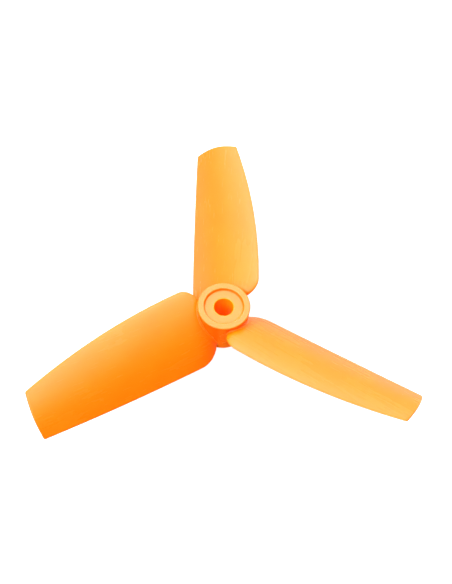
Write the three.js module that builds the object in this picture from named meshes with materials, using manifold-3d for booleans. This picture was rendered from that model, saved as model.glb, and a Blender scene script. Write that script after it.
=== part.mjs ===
// A three-blade propeller for a small racing quadcopter, moulded in orange plastic, with the loose ring that
// centres it on a motor shaft. Millimetres, +Z up. The spin axis is Z and thrust is towards +Z.
// It turns clockwise seen from above, so a blade's leading edge is its high edge, on the clockwise side.
import * as THREE from "three";
import { mergeVertices } from "three/addons/utils/BufferGeometryUtils.js";
import Module from "manifold-3d";

const wasm = await Module();
wasm.setup();

// ---- Driving dimensions ----

const SEAT_Z = -7.15; // the hub's underside: the origin is the centre of mass, on the axis
const ROUND_SIDES = 60; // sides of every turned shape
const GAP = 0.3; // between a blade and the hub

const HUB_HEIGHT = 12.4;
const HUB_TOP_RADIUS = 7.1;
const HUB_FOOT_RADIUS = 6.5;
const HUB_EDGE_ROUND = 0.3;
const BORE_RADIUS = 2.58; // clears a 5 mm threaded shaft
const RECESS_DEPTH = 0.8; // the shallow seat for the propeller nut
const RECESS_MOUTH_RADIUS = 5.37;
const RECESS_FLOOR_RADIUS = 5.1;

const POCKET_RADIUS = 4.05; // the counterbore in the hub's foot, which holds the ring
const POCKET_DEPTH = 2;
const RING_CLEARANCE = 0.1;
const RING_BORE_RADIUS = 2.55;

const BLADE_COUNT = 3;
const FIRST_BLADE_ANGLE = Math.PI / 2;

// Both edges of a blade that lies along +X: root, middle and tip, with heights above the hub's underside.
const STATION_X = [10, 33, 56];
const LEADING_Y = [-8.9, -6.3, -0.2];
const LEADING_HEIGHT = [12.1, 11.3, 10];
const TRAILING_Y = [9, 10.4, 11.4];
const TRAILING_HEIGHT = [0.2, 1.5, 3.8];

const BLADE_START_X = 3.6; // inside the hub, where it is cut away
const BLADE_END_X = 56.1;
const TIP_BULGE = 0.45; // the square tip bows out this far at mid-chord
const TIP_CORNER_ROUND = 0.5;
const LEADING_ROOT_ROUND = { startX: 9.5, radius: 4.9 };
const TRAILING_ROOT_ROUND = { startX: 10.3, radius: 7 };

const CAMBER = 0.085; // of the chord
const ROOT_THICKNESS = 1.8;
const TIP_THICKNESS = 1.0;
const TRAILING_EDGE_THICKNESS = 0.4;
const SPAN_STEPS = 20;
const CHORD_STEPS = 10;

// ---- Shared shape helpers ----

/** The value at x of the smooth curve that passes through the values at the stations. */
function curveThrough(values, x) {
  return values.reduce((sum, value, i) => {
    const weight = STATION_X.reduce(
      (product, station, j) => (j === i ? product : (product * (x - station)) / (STATION_X[i] - station)),
      1,
    );
    return sum + value * weight;
  }, 0);
}

/** How far a corner rounded with this radius has pulled in, a distance past the start of its arc. */
function roundedInset(radius, distance) {
  const along = THREE.MathUtils.clamp(distance, 0, radius);
  return radius - Math.sqrt(radius * radius - along * along);
}

/** A solid of revolution about Z from a closed outline of radius and height. */
function turned(outline) {
  return new THREE.LatheGeometry(outline.getPoints(2), ROUND_SIDES).rotateX(Math.PI / 2);
}

/** A closed skin over rings of points, with a flat fan across each end. */
function loft(rings) {
  const size = rings[0].length;
  const last = (rings.length - 1) * size;
  const triangles = [];
  for (let ring = 0; ring < rings.length - 1; ring++) {
    for (let i = 0; i < size; i++) {
      const here = ring * size + i;
      const next = ring * size + ((i + 1) % size);
      triangles.push(here, next, here + size);
      triangles.push(next, next + size, here + size);
    }
  }
  for (let i = 1; i < size - 1; i++) {
    triangles.push(0, i + 1, i);
    triangles.push(last, last + i, last + i + 1);
  }
  const geometry = new THREE.BufferGeometry().setFromPoints(rings.flat());
  geometry.setIndex(triangles);
  return geometry;
}

/** A three.js geometry as a manifold-3d solid. */
function toSolid(geometry) {
  const bare = geometry.clone();
  bare.deleteAttribute("normal");
  bare.deleteAttribute("uv");
  const merged = mergeVertices(bare, 1e-5);
  const vertProperties = new Float32Array(merged.attributes.position.array);
  const triVerts = new Uint32Array(merged.index.array);
  return new wasm.Manifold(new wasm.Mesh({ numProp: 3, vertProperties, triVerts }));
}

/** A manifold-3d solid as a three.js geometry. */
function toGeometry(solid) {
  const mesh = solid.getMesh();
  const geometry = new THREE.BufferGeometry();
  geometry.setAttribute("position", new THREE.BufferAttribute(mesh.vertProperties, 3));
  geometry.setIndex(new THREE.BufferAttribute(mesh.triVerts, 1));
  geometry.computeVertexNormals();
  return geometry;
}

// ---- Hub ----

/** The tapered tube, with its rounded edges, the nut recess on top and the ring pocket in its foot. */
function hubGeometry() {
  const outline = new THREE.Path();
  const round = HUB_EDGE_ROUND;
  outline.moveTo(POCKET_RADIUS, 0);
  outline.lineTo(HUB_FOOT_RADIUS - round, 0);
  outline.absarc(HUB_FOOT_RADIUS - round, round, round, -Math.PI / 2, 0);
  outline.absarc(HUB_TOP_RADIUS - round, HUB_HEIGHT - round, round, 0, Math.PI / 2);
  outline.lineTo(RECESS_MOUTH_RADIUS, HUB_HEIGHT);
  outline.lineTo(RECESS_FLOOR_RADIUS, HUB_HEIGHT - RECESS_DEPTH);
  outline.lineTo(BORE_RADIUS, HUB_HEIGHT - RECESS_DEPTH);
  outline.lineTo(BORE_RADIUS, POCKET_DEPTH);
  outline.lineTo(POCKET_RADIUS, POCKET_DEPTH);
  outline.closePath();
  return turned(outline);
}

/** The room that a blade leaves for the hub: its outer taper, with the gap added. */
function hubClearance() {
  const outline = new THREE.Path();
  outline.moveTo(0, -HUB_HEIGHT);
  outline.lineTo(HUB_FOOT_RADIUS + GAP, -HUB_HEIGHT);
  outline.lineTo(HUB_FOOT_RADIUS + GAP, 0);
  outline.lineTo(HUB_TOP_RADIUS + GAP, HUB_HEIGHT);
  outline.lineTo(HUB_TOP_RADIUS + GAP, 2 * HUB_HEIGHT);
  outline.lineTo(0, 2 * HUB_HEIGHT);
  return turned(outline);
}

// ---- Shaft ring ----

/** The plain ring in the hub's foot, a little shorter than its pocket. */
function ringGeometry() {
  const outer = POCKET_RADIUS - RING_CLEARANCE;
  const top = POCKET_DEPTH - RING_CLEARANCE;
  const outline = new THREE.Path();
  outline.moveTo(RING_BORE_RADIUS, RING_CLEARANCE);
  outline.lineTo(outer, RING_CLEARANCE);
  outline.lineTo(outer, top);
  outline.lineTo(RING_BORE_RADIUS, top);
  outline.closePath();
  return turned(outline);
}

// ---- Blade ----

/** The chord at x: its leading and trailing ends on the twisted blade, after the corners are rounded. */
function chordAt(x) {
  const leading = new THREE.Vector2(curveThrough(LEADING_Y, x), curveThrough(LEADING_HEIGHT, x));
  const trailing = new THREE.Vector2(curveThrough(TRAILING_Y, x), curveThrough(TRAILING_HEIGHT, x));
  const span = trailing.clone().sub(leading);
  const tipInset = roundedInset(TIP_CORNER_ROUND, x - (BLADE_END_X - TIP_CORNER_ROUND));
  const leadingInset = roundedInset(LEADING_ROOT_ROUND.radius, LEADING_ROOT_ROUND.startX - x) + tipInset;
  const trailingInset = roundedInset(TRAILING_ROOT_ROUND.radius, TRAILING_ROOT_ROUND.startX - x) + tipInset;
  return {
    from: leading.clone().addScaledVector(span, leadingInset / span.x),
    to: trailing.clone().addScaledVector(span, -trailingInset / span.x),
  };
}

/** Half the thickness at a share of the chord: the four-digit aerofoil curve, with a blunt trailing edge. */
function halfThickness(share, thickness) {
  const curve =
    0.2969 * Math.sqrt(share) -
    0.126 * share -
    0.3516 * share ** 2 +
    0.2843 * share ** 3 -
    0.1015 * share ** 4;
  return 5 * thickness * curve + (TRAILING_EDGE_THICKNESS / 2) * share;
}

/** One closed aerofoil ring, a share of the way from root to tip, with its camber arched upwards. */
function bladeRing(spanShare) {
  const x = THREE.MathUtils.lerp(BLADE_START_X, BLADE_END_X, spanShare);
  const { from, to } = chordAt(x);
  const chord = to.clone().sub(from);
  const up = new THREE.Vector2(-chord.y, chord.x).normalize();
  const thickness = THREE.MathUtils.lerp(ROOT_THICKNESS, TIP_THICKNESS, spanShare);
  const pointAt = (share, side) => {
    const arch = Math.sin(Math.PI * share);
    const lift = CAMBER * chord.length() * arch + side * halfThickness(share, thickness);
    const point = from.clone().addScaledVector(chord, share).addScaledVector(up, lift);
    return new THREE.Vector3(x + TIP_BULGE * spanShare * arch, point.x, point.y);
  };
  const ring = [];
  for (let i = 0; i <= CHORD_STEPS; i++) {
    ring.push(pointAt((1 - Math.cos((Math.PI * i) / CHORD_STEPS)) / 2, -1));
  }
  for (let i = CHORD_STEPS; i > 0; i--) {
    ring.push(pointAt((1 - Math.cos((Math.PI * i) / CHORD_STEPS)) / 2, 1));
  }
  return ring;
}

/** The blade along +X, with rings closer together at its root and tip, cut clear of the hub. */
function bladeGeometry() {
  const rings = [];
  for (let i = 0; i <= SPAN_STEPS; i++) {
    rings.push(bladeRing((1 - Math.cos((Math.PI * i) / SPAN_STEPS)) / 2));
  }
  return toGeometry(toSolid(loft(rings)).subtract(toSolid(hubClearance())));
}

// ---- Materials and assembly ----

const orangePlastic = () => new THREE.MeshStandardMaterial({ color: 0xff9a3c, roughness: 0.45, metalness: 0 });
const ringPlastic = () => new THREE.MeshStandardMaterial({ color: 0xe9e6dc, roughness: 0.5, metalness: 0 });

function named(name, geometry, material) {
  const mesh = new THREE.Mesh(geometry, material);
  mesh.name = name;
  return mesh;
}

const group = new THREE.Group();
group.position.z = SEAT_Z;
group.add(named("hub", hubGeometry(), orangePlastic()));
group.add(named("shaft_ring", ringGeometry(), ringPlastic()));

const blade = bladeGeometry();
for (let i = 0; i < BLADE_COUNT; i++) {
  const mesh = named(`blade_${i + 1}`, blade, orangePlastic());
  mesh.rotation.z = FIRST_BLADE_ANGLE + (i * 2 * Math.PI) / BLADE_COUNT;
  group.add(mesh);
}

export default group;
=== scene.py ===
"""The looks of a three-blade quadcopter propeller, built around its CAD frame.

The spin axis is Z and thrust is towards +Z, as in the CAD. Lengths are in metres, except that a blade is
worked out in millimetres, lying along +X, with heights above the hub's foot.
"""

import math

import bpy
from mathutils import Matrix, Vector


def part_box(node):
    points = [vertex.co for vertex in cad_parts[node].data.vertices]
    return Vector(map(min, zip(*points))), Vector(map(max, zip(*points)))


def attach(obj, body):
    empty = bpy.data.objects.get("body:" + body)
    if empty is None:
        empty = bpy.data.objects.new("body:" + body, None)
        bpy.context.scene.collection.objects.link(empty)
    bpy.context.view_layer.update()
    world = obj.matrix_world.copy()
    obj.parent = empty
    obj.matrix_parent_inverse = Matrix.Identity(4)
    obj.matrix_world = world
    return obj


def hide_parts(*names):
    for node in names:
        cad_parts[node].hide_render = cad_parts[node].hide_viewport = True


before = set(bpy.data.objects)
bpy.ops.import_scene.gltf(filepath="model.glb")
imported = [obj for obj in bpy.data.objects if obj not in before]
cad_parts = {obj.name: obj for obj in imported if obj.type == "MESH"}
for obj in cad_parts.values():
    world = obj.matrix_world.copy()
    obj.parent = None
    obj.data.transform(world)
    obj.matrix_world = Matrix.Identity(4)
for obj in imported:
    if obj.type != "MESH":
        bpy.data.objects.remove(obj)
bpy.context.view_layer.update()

MM = 0.001

# ---- Sizes read from the frame ----

hub_low, hub_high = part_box("hub")
ring_low, ring_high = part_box("shaft_ring")
FOOT_Z = hub_low.z
HUB_HEIGHT = hub_high.z - hub_low.z
HUB_TOP_RADIUS = hub_high.x
RING_RADIUS = ring_high.x
RING_BOTTOM = ring_low.z - FOOT_Z
RING_TOP = ring_high.z - FOOT_Z

# ---- Hub and ring sizes that a box can't give ----

HUB_FOOT_RADIUS = 6.5 * MM
HUB_EDGE_ROUND = 0.3 * MM
BORE_RADIUS = 2.58 * MM
RECESS_DEPTH = 0.8 * MM
RECESS_MOUTH_RADIUS = 5.37 * MM
RECESS_FLOOR_RADIUS = 5.1 * MM
RECESS_EDGE_ROUND = 0.25 * MM
POCKET_CLEARANCE = 0.1 * MM
RING_BORE_RADIUS = 2.55 * MM
SMALL_ROUND = 0.15 * MM
ROUND_SIDES = 144
ARC_STEPS = 8
SUPPORT_OFFSET = 0.4  # how far beside an arc its support points stand, as a share of the arc's radius

# ---- Blade sizes, in millimetres ----

# Both edges of the blade, at its root, middle and tip.
STATION_X = (10, 33, 56)
LEADING_Y = (-8.9, -6.3, -0.2)
LEADING_HEIGHT = (12.1, 11.3, 10)
TRAILING_Y = (9, 10.4, 11.4)
TRAILING_HEIGHT = (0.2, 1.5, 3.8)

BLADE_START_X = 3.6  # inside the hub
BLADE_END_X = 56.1
TIP_BULGE = 0.45  # the square tip bows out this far at mid-chord
TIP_CORNER_ROUND = 0.5
TIP_EDGE_ROUND = 0.3
TIP_EDGE_LEAST = 0.2  # the blade keeps at least this share of its thickness at the very tip
LEADING_ROOT_START_X = 9.5
LEADING_ROOT_ROUND = 4.9
TRAILING_ROOT_START_X = 10.3
TRAILING_ROOT_ROUND = 7.0
CAMBER = 0.085  # of the chord
ROOT_THICKNESS = 1.8
TIP_THICKNESS = 1.0
TRAILING_EDGE_THICKNESS = 0.4
FILLET_RADIUS = 0.5
BLADE_ANGLES = {"blade_1": 90, "blade_2": 210, "blade_3": 330}  # degrees round from +X

# How a blade's skin is divided into rings, and each ring into points.
CHORD_STEPS = 32
RING_POINTS = 2 * CHORD_STEPS
SUNK_DEPTHS = (0.9, 0.4)  # the first rings lie this deep inside the hub
FILLET_RINGS = 14
ROOT_RINGS = 36
ROOT_CROWDING = 1.4  # above 1, the root's rings are closer together near the hub
ROOT_END_X = 14  # where the rings have become straight
MIDDLE_RINGS = 56
TIP_RINGS = 8
HALVINGS = 24  # steps in the search for a distance from the hub

# ---- Colours ----

ORANGE_DEEP = (0.88, 0.09, 0.0006, 1)
ORANGE_PALE = (0.9, 0.1, 0.001, 1)
ORANGE_STREAK = (0.91, 0.112, 0.002, 1)
ORANGE_SCUFF = (0.95, 0.26, 0.07, 1)
# Painted shade: a deeper orange laid into crevices, corners and recesses, where shade falls
ORANGE_PAINTED_SHADE = (0.85, 0.07, 0.0004, 1)
# Painted light: a paler orange laid on the bore's wall, which lies in shade
ORANGE_PAINTED_BORE_LIGHT = (0.9, 0.17, 0.001, 1)
NYLON = (0.76, 0.74, 0.67, 1)
NYLON_AGED = (0.68, 0.64, 0.52, 1)
NYLON_WORN = (0.86, 0.85, 0.8, 1)
WHITE = (1, 1, 1, 1)
FLOOR_GREY = (0.5, 0.5, 0.5, 1)
BOUNCE_COLOUR = (1.0, 0.7, 0.03, 1)

# ---- Marks on the orange plastic, and its painted shade and painted light: their sizes, tints, roughness and heights ----

CLOUD_SIZE = 14 * MM
STREAK_SIZE = 1.6 * MM
STREAK_SCALE = (0.05, 1, 1)  # a scale below 1 draws the marks out, here along the blade
SPECKLE_SIZE = 0.35 * MM
GRAIN_SIZE = 0.22 * MM
SWELL_SIZE = 6 * MM
SCRATCH_SIZE = 0.3 * MM
SCRATCH_SCALE = (0.06, 1, 0.6)
SCUFF_SIZE = 1.2 * MM
SCUFF_REACH = 0.5 * MM
# How far the painted shade looks for nearby surfaces
PAINTED_SHADE_REACH = 1.6 * MM
# How far from the bore's wall the painted light reaches
PAINTED_BORE_LIGHT_REACH = 0.3 * MM

STREAK_TINT = 0.15
SPECKLE_TINT = 0.2
SCUFF_TINT = 0.65
# How strongly the painted shade darkens the colour
PAINTED_SHADE_TINT = 0.45
# How strongly the painted light pales the bore
PAINTED_BORE_LIGHT_TINT = 0.9

SCUFF_ROUGHNESS = 0.15
SCRATCH_ROUGHNESS = 0.06
# The painted shade's mask also makes the crevices rougher
PAINTED_SHADE_ROUGHNESS = 0.2

SWELL_HEIGHT = 0.02 * MM
STREAK_HEIGHT = 0.0006 * MM
GRAIN_HEIGHT = 0.002 * MM
SCRATCH_DEPTH = 0.0008 * MM

# ---- Marks on the nylon ring ----

NYLON_CLOUD_SIZE = 1.8 * MM
NYLON_GRAIN_SIZE = 0.12 * MM
NYLON_GRAIN_ROUGHNESS = 0.1
NYLON_GRAIN_HEIGHT = 0.006 * MM
NYLON_WEAR_REACH = 0.15 * MM
NYLON_WEAR_TINT = 0.4
TURNING_MARK_SCALE = 0.6 / MM
TURNING_MARK_HEIGHT = 0.004 * MM

# ---- Floor, lights and camera ----

FLOOR_REACH = 3.0
FLOOR_DROP = 18 * MM

# Each light as degrees round from +X, degrees above the horizon, strength, and tightness.
SOFT_LIGHTS = {
    "behind": (90, 55, 5.5, 6),
    "behind_tight": (90, 60, 5, 30),
    "back_left": (135, 55, 3, 6),
    "back_right": (45, 55, 3, 6),
    "front_left": (225, 55, 9.5, 6),
    "low_left": (135, -5, 1.5, 6),
    "low_right": (45, -5, 3, 6),
    "under_left": (140, -35, 2.5, 6),
    "under_right": (0, -35, 0.5, 6),
}
BOUNCE_LIGHT = (0, -90, 1.6, 6)

CAMERA_ELEVATION = math.radians(61.6)
CAMERA_ROLL = math.radians(4.4)
CAMERA_DISTANCE = 244 * MM  # from the spin axis, at the height it aims at
CAMERA_LENS = 55.3
CAMERA_SENSOR_WIDTH = 36
AIM_X = 0.3 * MM
AIM_Y = 7.7 * MM
AIM_HEIGHT = 6.38 * MM  # above the hub's foot


# ---- Mesh helpers ----

def new_piece(name, points, faces):
    """A smooth-shaded mesh object from points and faces."""
    mesh = bpy.data.meshes.new(name)
    mesh.from_pydata([tuple(p) for p in points], [], faces)
    mesh.update()
    mesh.shade_smooth()
    piece = bpy.data.objects.new(name, mesh)
    bpy.context.scene.collection.objects.link(piece)
    return piece


def rounded_outline(corners):
    """A closed outline from (radius, height, rounding) corners, with a support point beside each arc."""
    outline = []
    for i, (r, z, rounding) in enumerate(corners):
        here = Vector((r, z))
        before = Vector(corners[i - 1][:2]) - here
        after = Vector(corners[(i + 1) % len(corners)][:2]) - here
        half_turn = before.angle(after) / 2
        reach = rounding / math.tan(half_turn)
        before.normalize()
        after.normalize()
        start = here + before * reach
        end = here + after * reach
        centre = here + (before + after).normalized() * (rounding / math.sin(half_turn))
        outline.append(start + before * rounding * SUPPORT_OFFSET)
        for step in range(ARC_STEPS + 1):
            chord_point = start.lerp(end, step / ARC_STEPS)
            outline.append(centre + (chord_point - centre).normalized() * rounding)
        outline.append(end + after * rounding * SUPPORT_OFFSET)
    return outline


def turned(name, corners):
    """A closed solid of revolution about Z, standing on the height of the hub's foot."""
    outline = rounded_outline(corners)
    points = []
    for side in range(ROUND_SIDES):
        angle = 2 * math.pi * side / ROUND_SIDES
        points += [(p.x * math.cos(angle), p.x * math.sin(angle), FOOT_Z + p.y) for p in outline]
    size = len(outline)
    faces = []
    for side in range(ROUND_SIDES):
        here = side * size
        there = ((side + 1) % ROUND_SIDES) * size
        for i in range(size):
            j = (i + 1) % size
            faces.append((here + i, there + i, there + j, here + j))
    return new_piece(name, points, faces)


# ---- Hub and shaft ring ----

def hub_radius(height):
    """The hub's outside radius in millimetres at a height in millimetres above its foot."""
    share = height * MM / HUB_HEIGHT
    return (HUB_FOOT_RADIUS + (HUB_TOP_RADIUS - HUB_FOOT_RADIUS) * share) / MM


def make_hub():
    """The tapered hub, with the ring's pocket in its foot, the bore, and the nut's recess in its top."""
    pocket_radius = RING_RADIUS + POCKET_CLEARANCE
    pocket_top = RING_TOP + POCKET_CLEARANCE
    recess_floor = HUB_HEIGHT - RECESS_DEPTH
    return turned("moulded_hub", [
        (pocket_radius, 0, SMALL_ROUND),
        (HUB_FOOT_RADIUS, 0, HUB_EDGE_ROUND),
        (HUB_TOP_RADIUS, HUB_HEIGHT, HUB_EDGE_ROUND),
        (RECESS_MOUTH_RADIUS, HUB_HEIGHT, RECESS_EDGE_ROUND),
        (RECESS_FLOOR_RADIUS, recess_floor, RECESS_EDGE_ROUND),
        (BORE_RADIUS, recess_floor, SMALL_ROUND),
        (BORE_RADIUS, pocket_top, SMALL_ROUND),
        (pocket_radius, pocket_top, SMALL_ROUND),
    ])


def make_ring():
    """The plain ring in the hub's foot."""
    return turned("centring_ring", [
        (RING_BORE_RADIUS, RING_BOTTOM, SMALL_ROUND),
        (RING_RADIUS, RING_BOTTOM, SMALL_ROUND),
        (RING_RADIUS, RING_TOP, SMALL_ROUND),
        (RING_BORE_RADIUS, RING_TOP, SMALL_ROUND),
    ])


# ---- Blade ----

def curve_through(values, x):
    """The value at x of the smooth curve that passes through the values at the stations."""
    total = 0.0
    for i, value in enumerate(values):
        for j, station in enumerate(STATION_X):
            if j != i:
                value *= (x - station) / (STATION_X[i] - station)
        total += value
    return total


def rounded_inset(radius, distance):
    """How far a corner rounded with this radius has pulled in, a distance past the start of its arc."""
    along = min(max(distance, 0), radius)
    return radius - math.sqrt(radius * radius - along * along)


def chord_ends(x):
    """The leading and trailing ends of the chord at x, each (y, height), with the corners rounded."""
    leading = Vector((curve_through(LEADING_Y, x), curve_through(LEADING_HEIGHT, x)))
    trailing = Vector((curve_through(TRAILING_Y, x), curve_through(TRAILING_HEIGHT, x)))
    span = trailing - leading
    tip = rounded_inset(TIP_CORNER_ROUND, x - (BLADE_END_X - TIP_CORNER_ROUND))
    leading_inset = rounded_inset(LEADING_ROOT_ROUND, LEADING_ROOT_START_X - x) + tip
    trailing_inset = rounded_inset(TRAILING_ROOT_ROUND, TRAILING_ROOT_START_X - x) + tip
    return leading + span * (leading_inset / span.x), trailing - span * (trailing_inset / span.x)


def half_thickness(share, thickness, chord):
    """Half the thickness at a share of the chord, with a rounded trailing edge."""
    four_digit_aerofoil = (
        0.2969 * math.sqrt(share)
        - 0.126 * share
        - 0.3516 * share**2
        + 0.2843 * share**3
        - 0.1015 * share**4
    )
    half = 5 * thickness * four_digit_aerofoil + TRAILING_EDGE_THICKNESS / 2 * share
    edge = TRAILING_EDGE_THICKNESS / 2
    past = max(0.0, edge - (1 - share) * chord) / edge
    return half * math.sqrt(max(0.0, 1 - past * past))


def section_point(x, step):
    """A point (x, y, height) of the section at x. Steps go along the underside and back over the top."""
    leading, trailing = chord_ends(x)
    chord = trailing - leading
    up = Vector((-chord.y, chord.x)).normalized()
    span_share = (x - BLADE_START_X) / (BLADE_END_X - BLADE_START_X)
    thickness = ROOT_THICKNESS + (TIP_THICKNESS - ROOT_THICKNESS) * span_share
    step %= RING_POINTS
    side = -1 if step <= CHORD_STEPS else 1
    share = (1 - math.cos(math.pi * step / CHORD_STEPS)) / 2
    arch = math.sin(math.pi * share)
    half = half_thickness(share, thickness, chord.length)
    tip_inset = rounded_inset(TIP_EDGE_ROUND, x - (BLADE_END_X - TIP_EDGE_ROUND))
    half = max(half - tip_inset, half * TIP_EDGE_LEAST)
    flat = leading + chord * share + up * (CAMBER * chord.length * arch + side * half)
    return Vector((x + TIP_BULGE * span_share * arch, flat.x, flat.y))


def hub_distance(point):
    """How far a point stands from the hub's outside, in millimetres."""
    return math.hypot(point.x, point.y) - hub_radius(point.z)


def x_at_distance(step, distance):
    """Where along the blade its section's point for this step reaches this distance from the hub."""
    near = BLADE_START_X
    far = ROOT_END_X
    for _ in range(HALVINGS):
        middle = (near + far) / 2
        if hub_distance(section_point(middle, step)) < distance:
            near = middle
        else:
            far = middle
    return (near + far) / 2


def skin_point(x, step):
    """A point of the finished skin. Near the hub it swells out in a fillet that meets the hub's side."""
    point = section_point(x, step)
    distance = hub_distance(point)
    if distance >= FILLET_RADIUS:
        return point
    along = section_point(x, step + 1) - section_point(x, step - 1)
    outward = Vector((0, along.z, -along.y)).normalized()
    radial = Vector((point.x, point.y, 0)).normalized()
    outward -= radial * outward.dot(radial)
    swollen = point + outward * rounded_inset(FILLET_RADIUS, FILLET_RADIUS - distance)
    reach = distance + hub_radius(swollen.z)
    return Vector((swollen.x, swollen.y, 0)).normalized() * reach + Vector((0, 0, swollen.z))


def ring_places():
    """For each ring of the skin, the x of its points. The rings follow the hub's side, then straighten."""
    distances = [-depth for depth in SUNK_DEPTHS]
    for i in range(FILLET_RINGS + 1):
        angle = math.pi / 2 * (1 - i / FILLET_RINGS)
        distances.append(FILLET_RADIUS * (1 - math.sin(angle)))
    rings = [[x_at_distance(step, distance) for step in range(RING_POINTS)] for distance in distances]

    fillet_end = rings[-1]
    for i in range(1, ROOT_RINGS + 1):
        share = (i / ROOT_RINGS) ** ROOT_CROWDING
        rings.append([x + (ROOT_END_X - x) * share for x in fillet_end])

    tip_start = BLADE_END_X - TIP_CORNER_ROUND
    for i in range(1, MIDDLE_RINGS + 1):
        rings.append([ROOT_END_X + (tip_start - ROOT_END_X) * i / MIDDLE_RINGS] * RING_POINTS)
    for i in range(1, TIP_RINGS + 1):
        reach = TIP_CORNER_ROUND * math.sin(math.pi / 2 * i / TIP_RINGS)
        rings.append([tip_start + reach] * RING_POINTS)
    return rings


def blade_skin():
    """The points, in metres, and the faces of a closed blade that lies along +X."""
    rings = ring_places()
    points = [skin_point(x, step) * MM for ring in rings for step, x in enumerate(ring)]
    last = (len(rings) - 1) * RING_POINTS
    faces = []
    for start in range(0, last, RING_POINTS):
        for i in range(RING_POINTS):
            here = start + i
            there = start + (i + 1) % RING_POINTS
            faces.append((here, there, there + RING_POINTS, here + RING_POINTS))
    end = [(0, 1, RING_POINTS - 1), (CHORD_STEPS - 1, CHORD_STEPS, CHORD_STEPS + 1)]
    end += [(i, i + 1, RING_POINTS - i - 1, RING_POINTS - i) for i in range(1, CHORD_STEPS - 1)]
    for corners in end:
        faces.append(tuple(reversed(corners)))
        faces.append(tuple(last + corner for corner in corners))
    return points, faces


def make_blade(node, angle, points, faces):
    """A blade turned to its angle. Its flow attribute holds each point's place on the unturned blade."""
    piece = new_piece("moulded_" + node, points, faces)
    flow = piece.data.attributes.new("flow", "FLOAT_VECTOR", "POINT")
    flow.data.foreach_set("vector", [c for p in points for c in p])
    turn = Matrix.Rotation(math.radians(angle), 4, "Z")
    piece.data.transform(Matrix.Translation((0, 0, FOOT_Z)) @ turn)
    return piece


# ---- Materials ----

class Nodes:
    """The node tree of a new material or world, filled in by adding nodes with their inputs."""

    def __init__(self, owner):
        owner.use_nodes = True
        self.tree = owner.node_tree

    def fill(self, node, inputs):
        """Link each input of a node, or set its value."""
        for name, value in inputs.items():
            if isinstance(value, bpy.types.NodeSocket):
                self.tree.links.new(value, node.inputs[name])
            else:
                node.inputs[name].default_value = value

    def fill_existing(self, name, inputs):
        """Fill a node that the tree came with."""
        self.fill(self.tree.nodes[name], inputs)

    def add(self, kind, inputs=None, **settings):
        node = self.tree.nodes.new("ShaderNode" + kind)
        for name, value in settings.items():
            setattr(node, name, value)
        self.fill(node, inputs or {})
        return node

    def combine(self, operation, *values):
        total = values[0]
        for value in values[1:]:
            total = self.add("Math", {0: total, 1: value}, operation=operation).outputs[0]
        return total

    def sum(self, *values):
        return self.combine("ADD", *values)

    def product(self, *values):
        return self.combine("MULTIPLY", *values)

    def dot(self, first, second):
        return self.add("VectorMath", {0: first, 1: second}, operation="DOT_PRODUCT").outputs["Value"]

    def remap(self, value, start, end, to_start=0.0, to_end=1.0):
        """The value's run from start to end made into a run from to_start to to_end, and held there."""
        inputs = {"Value": value, "From Min": start, "From Max": end, "To Min": to_start, "To Max": to_end}
        return self.add("MapRange", inputs).outputs["Result"]

    def noise(self, place, size, detail=3.0, roughness=0.5):
        """Noise with features of about this size in metres."""
        inputs = {"Vector": place, "Scale": 1 / size, "Detail": detail, "Roughness": roughness}
        return self.add("TexNoise", inputs).outputs["Fac"]

    def scaled(self, place, scale):
        return self.add("VectorMath", {0: place, 1: scale}, operation="MULTIPLY").outputs[0]

    def tint(self, colour, other, share):
        """A colour taken a share of the way to another one."""
        return self.add("MixRGB", {"Fac": share, "Color1": colour, "Color2": other}).outputs["Color"]

    def bump(self, height):
        """The normal of a surface raised by this height in metres."""
        return self.add("Bump", {"Height": height, "Distance": 1.0, "Strength": 1.0}).outputs["Normal"]

    def worn_edges(self, reach):
        """1 on a convex or concave edge, fading to 0 a reach away from it."""
        rounded = self.add("Bevel", {"Radius": reach}, samples=6).outputs[0]
        flat = self.add("NewGeometry").outputs["Normal"]
        return self.remap(self.dot(rounded, flat), start=0.995, end=0.85)


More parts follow.
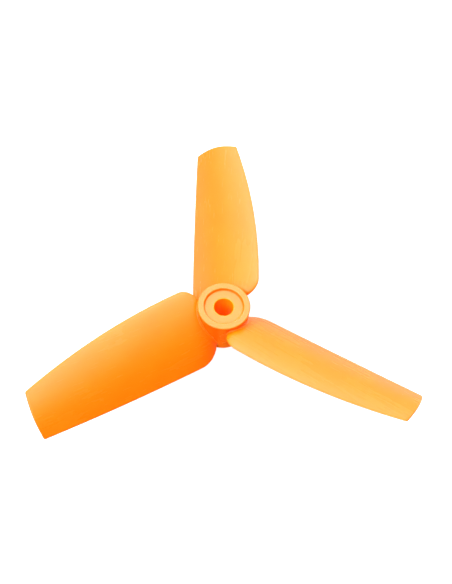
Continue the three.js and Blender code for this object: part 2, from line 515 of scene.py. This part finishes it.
def moulded_orange():
    """Moulded plastic with a fine grain, scuffed edges, streaks and scratches along the blades, painted
    shade in crevices and painted light in the bore.
    """
    material = bpy.data.materials.new("moulded_orange")
    nodes = Nodes(material)
    place = nodes.add("TexCoord").outputs["Object"]
    flow = nodes.add("Attribute", attribute_name="flow").outputs["Vector"]

    clouds = nodes.noise(place, CLOUD_SIZE, detail=4)
    streaks = nodes.noise(nodes.scaled(flow, STREAK_SCALE), STREAK_SIZE, detail=5, roughness=0.6)
    speckle = nodes.noise(place, SPECKLE_SIZE, detail=2)
    grain = nodes.noise(place, GRAIN_SIZE, detail=4, roughness=0.6)
    swell = nodes.noise(place, SWELL_SIZE, detail=2)
    scratches = nodes.noise(nodes.scaled(flow, SCRATCH_SCALE), SCRATCH_SIZE, detail=1)
    scratches = nodes.remap(scratches, start=0.7, end=0.76)
    edges = nodes.worn_edges(SCUFF_REACH)
    scuffs = nodes.noise(place, SCUFF_SIZE, detail=5)
    scuffs = nodes.product(edges, nodes.remap(scuffs, start=0.3, end=0.6))
    # Painted shade: where ambient occlusion finds nearby surfaces, the colour is darkened and the shine
    # lowered
    openness = nodes.add("AmbientOcclusion", {"Distance": PAINTED_SHADE_REACH}, samples=8).outputs["AO"]
    painted_shade = nodes.remap(openness, start=0.8, end=0.45)
    # Painted light: the bore's wall and the edge just round it are paled
    across = nodes.scaled(place, (1, 1, 0))
    from_axis = nodes.add("VectorMath", {0: across}, operation="LENGTH").outputs["Value"]
    painted_bore_light = nodes.remap(from_axis, start=BORE_RADIUS + PAINTED_BORE_LIGHT_REACH, end=BORE_RADIUS)

    pale = nodes.remap(clouds, start=0.3, end=0.7)
    streaked = nodes.remap(streaks, start=0.4, end=0.75, to_end=STREAK_TINT)
    speckled = nodes.remap(speckle, start=0.62, end=0.75, to_end=SPECKLE_TINT)
    colour = nodes.tint(ORANGE_DEEP, ORANGE_PALE, pale)
    colour = nodes.tint(colour, ORANGE_STREAK, streaked)
    colour = nodes.tint(colour, ORANGE_DEEP, speckled)
    colour = nodes.tint(colour, ORANGE_SCUFF, nodes.product(scuffs, SCUFF_TINT))
    # Painted shade in the crevices
    colour = nodes.tint(colour, ORANGE_PAINTED_SHADE, nodes.product(painted_shade, PAINTED_SHADE_TINT))
    # Painted light on the bore's wall
    colour = nodes.tint(colour, ORANGE_PAINTED_BORE_LIGHT, nodes.product(painted_bore_light, PAINTED_BORE_LIGHT_TINT))
    roughness = nodes.sum(
        nodes.remap(clouds, start=0.3, end=0.7, to_start=0.24, to_end=0.28),
        nodes.remap(streaks, start=0.3, end=0.7, to_start=-0.012, to_end=0.018),
        nodes.product(scuffs, SCUFF_ROUGHNESS),
        nodes.product(scratches, SCRATCH_ROUGHNESS),
        nodes.product(painted_shade, PAINTED_SHADE_ROUGHNESS),
    )
    height = nodes.sum(
        nodes.product(swell, SWELL_HEIGHT),
        nodes.product(streaks, STREAK_HEIGHT),
        nodes.product(grain, GRAIN_HEIGHT),
        nodes.product(scratches, -SCRATCH_DEPTH),
    )
    # Both the painted shade and the painted bore light lower the specular level
    painted_shade_and_light = nodes.sum(painted_shade, painted_bore_light)
    nodes.fill_existing("Principled BSDF", {
        "Base Color": colour,
        "Roughness": roughness,
        "Normal": nodes.bump(height),
        "Specular IOR Level": nodes.remap(painted_shade_and_light, start=0, end=0.5, to_start=0.19, to_end=0.02),
        "Subsurface Weight": 0.2,
        "Subsurface Radius": (1.0, 0.6, 0.25),
        "Subsurface Scale": 1.2 * MM,
    })
    return material


def natural_nylon():
    """The ring's undyed nylon: slightly uneven, with fine turning marks round its faces."""
    material = bpy.data.materials.new("natural_nylon")
    nodes = Nodes(material)
    place = nodes.add("TexCoord").outputs["Object"]
    clouds = nodes.noise(place, NYLON_CLOUD_SIZE, detail=5)
    grain = nodes.noise(place, NYLON_GRAIN_SIZE, detail=3)
    marks = nodes.add(
        "TexWave", {"Vector": place, "Scale": TURNING_MARK_SCALE, "Distortion": 1.5, "Detail": 2.0},
        wave_type="RINGS", rings_direction="Z",
    ).outputs["Fac"]
    edges = nodes.worn_edges(NYLON_WEAR_REACH)

    colour = nodes.tint(NYLON, NYLON_AGED, nodes.remap(clouds, start=0.35, end=0.7))
    colour = nodes.tint(colour, NYLON_WORN, nodes.product(edges, NYLON_WEAR_TINT))
    roughness = nodes.sum(
        nodes.remap(clouds, start=0.3, end=0.7, to_start=0.45, to_end=0.6),
        nodes.product(grain, NYLON_GRAIN_ROUGHNESS),
    )
    height = nodes.sum(
        nodes.product(marks, TURNING_MARK_HEIGHT),
        nodes.product(grain, NYLON_GRAIN_HEIGHT),
    )
    nodes.fill_existing("Principled BSDF", {
        "Base Color": colour,
        "Roughness": roughness,
        "Normal": nodes.bump(height),
        "Subsurface Weight": 0.3,
        "Subsurface Radius": (1.0, 0.9, 0.7),
        "Subsurface Scale": 0.8 * MM,
    })
    return material


# ---- Studio ----

def make_floor():
    """A plain pale floor a little below the hub. Only the camera sees it, and only from above."""
    height = FOOT_Z - FLOOR_DROP
    corners = [(-1, -1), (1, -1), (1, 1), (-1, 1)]
    points = [(x * FLOOR_REACH, y * FLOOR_REACH, height) for x, y in corners]
    floor = new_piece("floor", points, [(0, 1, 2, 3)])
    material = bpy.data.materials.new("pale_floor")
    nodes = Nodes(material)
    nodes.fill_existing("Principled BSDF", {
        "Base Color": FLOOR_GREY,
        "Roughness": 0.9,
        "Specular IOR Level": 0.1,
    })
    pale = nodes.tree.nodes["Principled BSDF"].outputs[0]
    clear = nodes.add("BsdfTransparent").outputs[0]
    above = nodes.combine("SUBTRACT", 1.0, nodes.add("NewGeometry").outputs["Backfacing"])
    seen = nodes.product(nodes.add("LightPath").outputs["Is Camera Ray"], above)
    mixed = nodes.add("MixShader", {0: seen, 1: clear, 2: pale}).outputs[0]
    nodes.fill_existing("Material Output", {"Surface": mixed})
    floor.data.materials.append(material)


def light_from(nodes, azimuth, elevation, strength, tightness):
    """How bright a soft light in the world is in each direction. A higher tightness makes it smaller."""
    turn = math.radians(azimuth)
    rise = math.radians(elevation)
    towards = (math.cos(turn) * math.cos(rise), math.sin(turn) * math.cos(rise), math.sin(rise))
    direction = nodes.add("TexCoord").outputs["Generated"]
    facing = nodes.dot(direction, towards)
    spread = nodes.combine("POWER", nodes.combine("MAXIMUM", facing, 0.0), tightness)
    return nodes.product(spread, strength)


def make_light():
    """Soft white lights all round and a warm bounce from below. The camera sees plain white instead."""
    world = bpy.data.worlds.new("studio")
    bpy.context.scene.world = world
    nodes = Nodes(world)
    white = nodes.sum(*[light_from(nodes, *light) for light in SOFT_LIGHTS.values()])
    soft = nodes.add("Background", {"Color": WHITE, "Strength": white}).outputs[0]
    warm = light_from(nodes, *BOUNCE_LIGHT)
    bounce = nodes.add("Background", {"Color": BOUNCE_COLOUR, "Strength": warm}).outputs[0]
    lit = nodes.add("AddShader", {0: soft, 1: bounce}).outputs[0]
    plain = nodes.add("Background", {"Color": WHITE, "Strength": 1.0}).outputs[0]
    seen = nodes.add("LightPath").outputs["Is Camera Ray"]
    mixed = nodes.add("MixShader", {0: seen, 1: lit, 2: plain}).outputs[0]
    nodes.fill_existing("World Output", {"Surface": mixed})


def make_camera():
    """The camera stands in front, looking down at the propeller, and is rolled a little."""
    data = bpy.data.cameras.new("camera")
    data.sensor_width = CAMERA_SENSOR_WIDTH
    data.lens = CAMERA_LENS
    data.clip_start = 0.01
    camera = bpy.data.objects.new("camera", data)
    bpy.context.scene.collection.objects.link(camera)
    aim_z = FOOT_Z + AIM_HEIGHT
    away = Vector((0, -math.cos(CAMERA_ELEVATION), math.sin(CAMERA_ELEVATION)))
    camera.location = Vector((0, 0, aim_z)) + away * CAMERA_DISTANCE
    aim = (Vector((AIM_X, AIM_Y, aim_z)) - camera.location).to_track_quat("-Z", "Y")
    camera.rotation_mode = "QUATERNION"
    camera.rotation_quaternion = aim @ Matrix.Rotation(CAMERA_ROLL, 3, "Z").to_quaternion()
    bpy.context.scene.camera = camera


# ---- Assembly ----

plastic = moulded_orange()
hub = make_hub()
hub.data.materials.append(plastic)
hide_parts("hub")
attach(hub, "propeller")

skin_points, skin_faces = blade_skin()
for node, angle in BLADE_ANGLES.items():
    blade = make_blade(node, angle, skin_points, skin_faces)
    blade.data.materials.append(plastic)
    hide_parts(node)
    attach(blade, "propeller")

ring = make_ring()
ring.data.materials.append(natural_nylon())
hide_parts("shaft_ring")
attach(ring, "shaft_ring")

make_floor()
make_light()
make_camera()
bpy.context.scene.view_settings.view_transform = "Standard"
